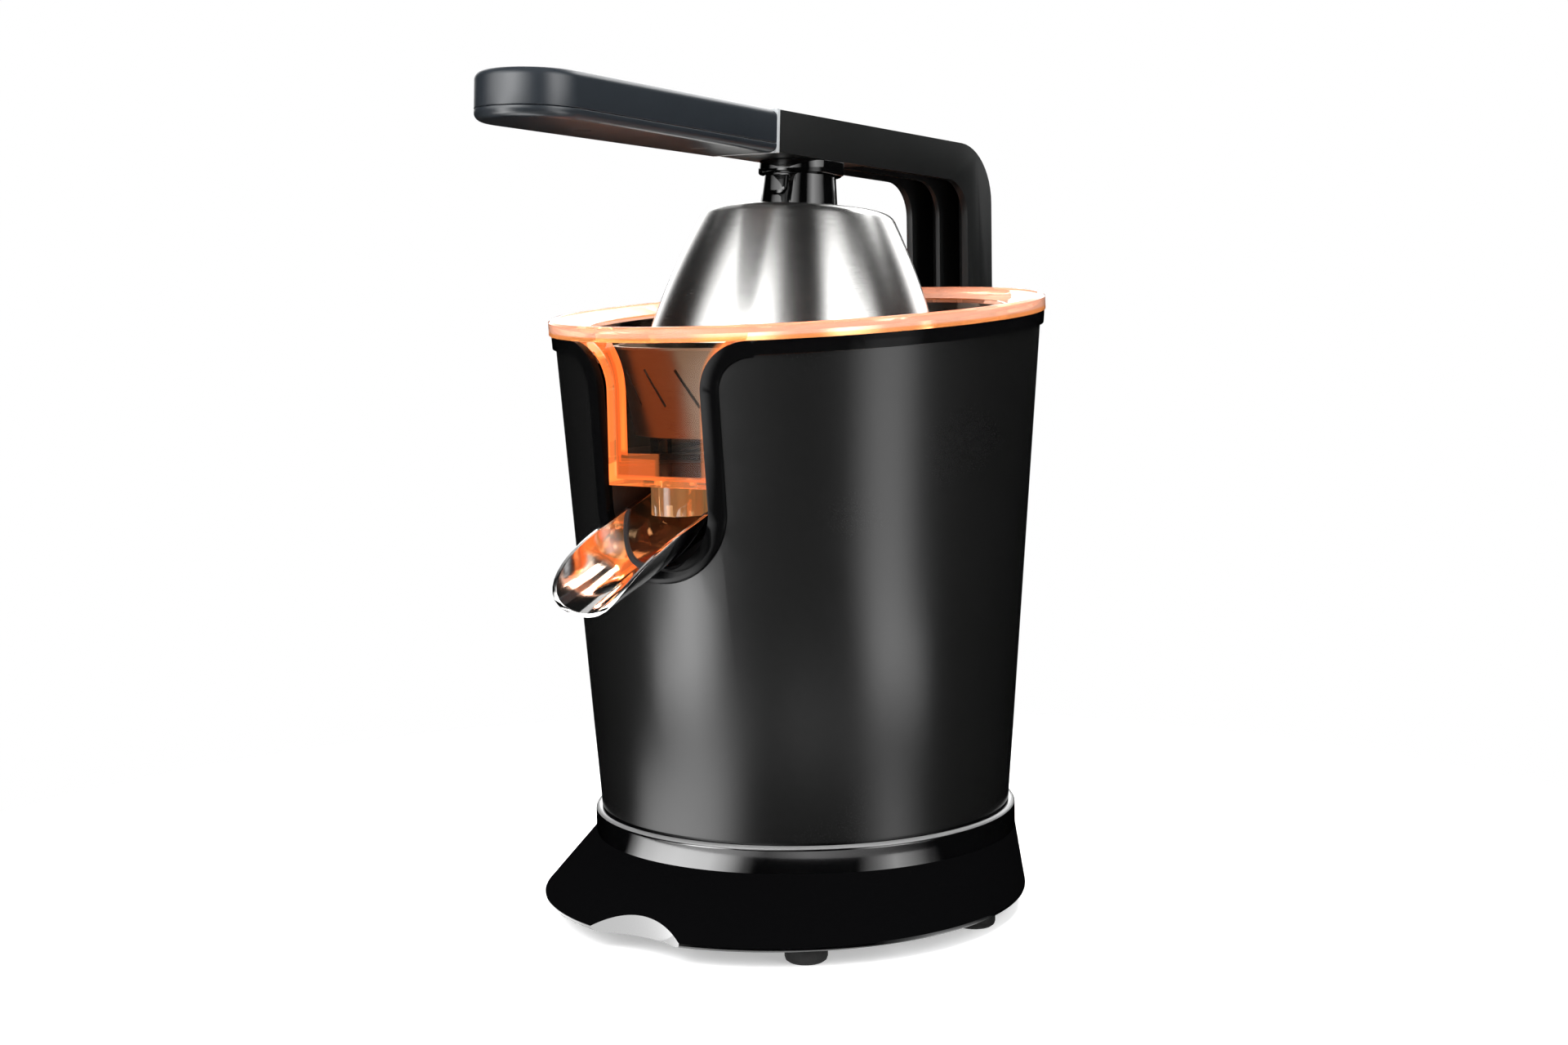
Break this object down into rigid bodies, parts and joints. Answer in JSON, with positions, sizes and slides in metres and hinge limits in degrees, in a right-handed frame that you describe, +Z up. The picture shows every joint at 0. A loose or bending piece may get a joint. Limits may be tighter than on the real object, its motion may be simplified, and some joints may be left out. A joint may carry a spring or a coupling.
{
  "type": "electric citrus press",
  "caption": "Upright electric citrus press with a lever arm, steel press dome, clear juice bowl, tilting drip-stop spout and a motor-driven reaming cone that starts when pressed.",
  "frame": {"origin": "bottom centre of the whole press, on the surface that it stands on", "axes": "+Z up, -Y towards the spout and the end of the grip, +X to the right when facing the front"},
  "size_m": [0.1964, 0.2914, 0.3213],
  "materials": {
    "rubber": "matt",
    "gloss_black": "high gloss",
    "satin_black": "satin",
    "inner_black": "moulded, fine texture",
    "arm_black": "semi-matt",
    "grip_black": "satin soft touch",
    "seam_grey": "satin",
    "clear_orange": "transparent, polished",
    "brushed_steel": "brushed",
    "polished_steel": "polished",
    "machine_steel": "turned",
    "laminated_steel": "pressed laminations",
    "zinc_plate": "die cast",
    "bronze": "sintered",
    "copper": "enamelled wire",
    "nylon": "moulded",
    "cone_black": "polished",
    "gasket_grey": "smooth",
    "switch_blue": "moulded",
    "switch_red": "moulded"
  },
  "bodies": {
    "root": {"rubber_feet": "rubber", "base_plate": "inner_black", "base_screws": "machine_steel", "base_skirt": "gloss_black", "cord_inlet_bush": "rubber", "body_shell": "satin_black", "body_trim": "gloss_black", "inner_housing": "inner_black", "shaft_seal": "gasket_grey", "juice_bowl": "clear_orange", "strainer": "brushed_steel", "hinge_bracket": "arm_black", "hinge_pin": "machine_steel", "hinge_clips": "machine_steel", "bracket_screws": "machine_steel", "motor_plate": "zinc_plate", "gear_cover": "nylon", "gearbox_screws": "machine_steel", "output_bush": "bronze", "idler_axle": "machine_steel", "motor_housing": "zinc_plate", "motor_stator": "laminated_steel", "field_coils": "copper", "motor_bushes": "bronze", "motor_screws": "machine_steel", "microswitch": "switch_blue"},
    "arm": {"arm_bracket": "arm_black", "arm_boss": "gloss_black", "grip_collar": "seam_grey", "grip_upper": "grip_black", "grip_lower": "grip_black", "grip_screws": "machine_steel", "dome_neck": "gloss_black", "press_dome": "brushed_steel", "dome_screw": "machine_steel"},
    "release_tab": {"dome_release_tab": "gloss_black"},
    "spout": {"spout_trough": "gloss_black", "spout_lip": "polished_steel", "spout_gasket": "gasket_grey"},
    "output": {"output_gear": "nylon", "hub_clip": "machine_steel", "return_spring": "machine_steel"},
    "spindle": {"drive_shaft": "machine_steel", "reaming_cone": "cone_black"},
    "idler": {"idler_gear": "nylon"},
    "rotor": {"armature": "laminated_steel", "motor_pinion": "bronze", "cooling_fan": "inner_black"},
    "plunger": {"switch_plunger": "switch_red"}
  },
  "joints": [
    {"name": "arm_hinge", "type": "hinge", "parent": "root", "child": "arm", "pos_m": [0, 0.13597, 0.221], "axis": [-1, 0, 0], "range_deg": [-5.5, 70]},
    {"name": "tab_press", "type": "slide", "parent": "arm", "child": "release_tab", "axis": [0, 0.9954, -0.0958], "range_m": [0, 0.0012], "stiffness_N_per_m": 2000, "springref_m": -0.001},
    {"name": "spout_tilt", "type": "hinge", "parent": "root", "child": "spout", "pos_m": [0, -0.04628, 0.16], "axis": [-1, 0, 0], "range_deg": [0, 25]},
    {"name": "output_spin", "type": "hinge", "parent": "root", "child": "output", "pos_m": [0, 0.02378, 0.15], "axis": [0, 0, 1], "continuous": true},
    {"name": "cone_press", "type": "slide", "parent": "output", "child": "spindle", "axis": [0, 0, -1], "range_m": [0, 0.003], "stiffness_N_per_m": 3000, "springref_m": -0.004, "deforming": ["return_spring"]},
    {"name": "idler_spin", "type": "hinge", "parent": "root", "child": "idler", "pos_m": [0, 0.06753, 0.145], "axis": [0, 0, 1], "continuous": true},
    {"name": "motor_spin", "type": "hinge", "parent": "root", "child": "rotor", "pos_m": [0, 0.03753, 0.1], "axis": [0, 0, 1], "continuous": true},
    {"name": "switch_press", "type": "slide", "parent": "root", "child": "plunger", "axis": [0, 0, -1], "range_m": [0, 0.003]}
  ],
  "couplings": [
    {"joint": "idler_spin", "follows": "output_spin", "ratio": -4},
    {"joint": "motor_spin", "follows": "output_spin", "ratio": 16},
    {"joint": "switch_press", "follows": "cone_press", "ratio": 1}
  ]
}
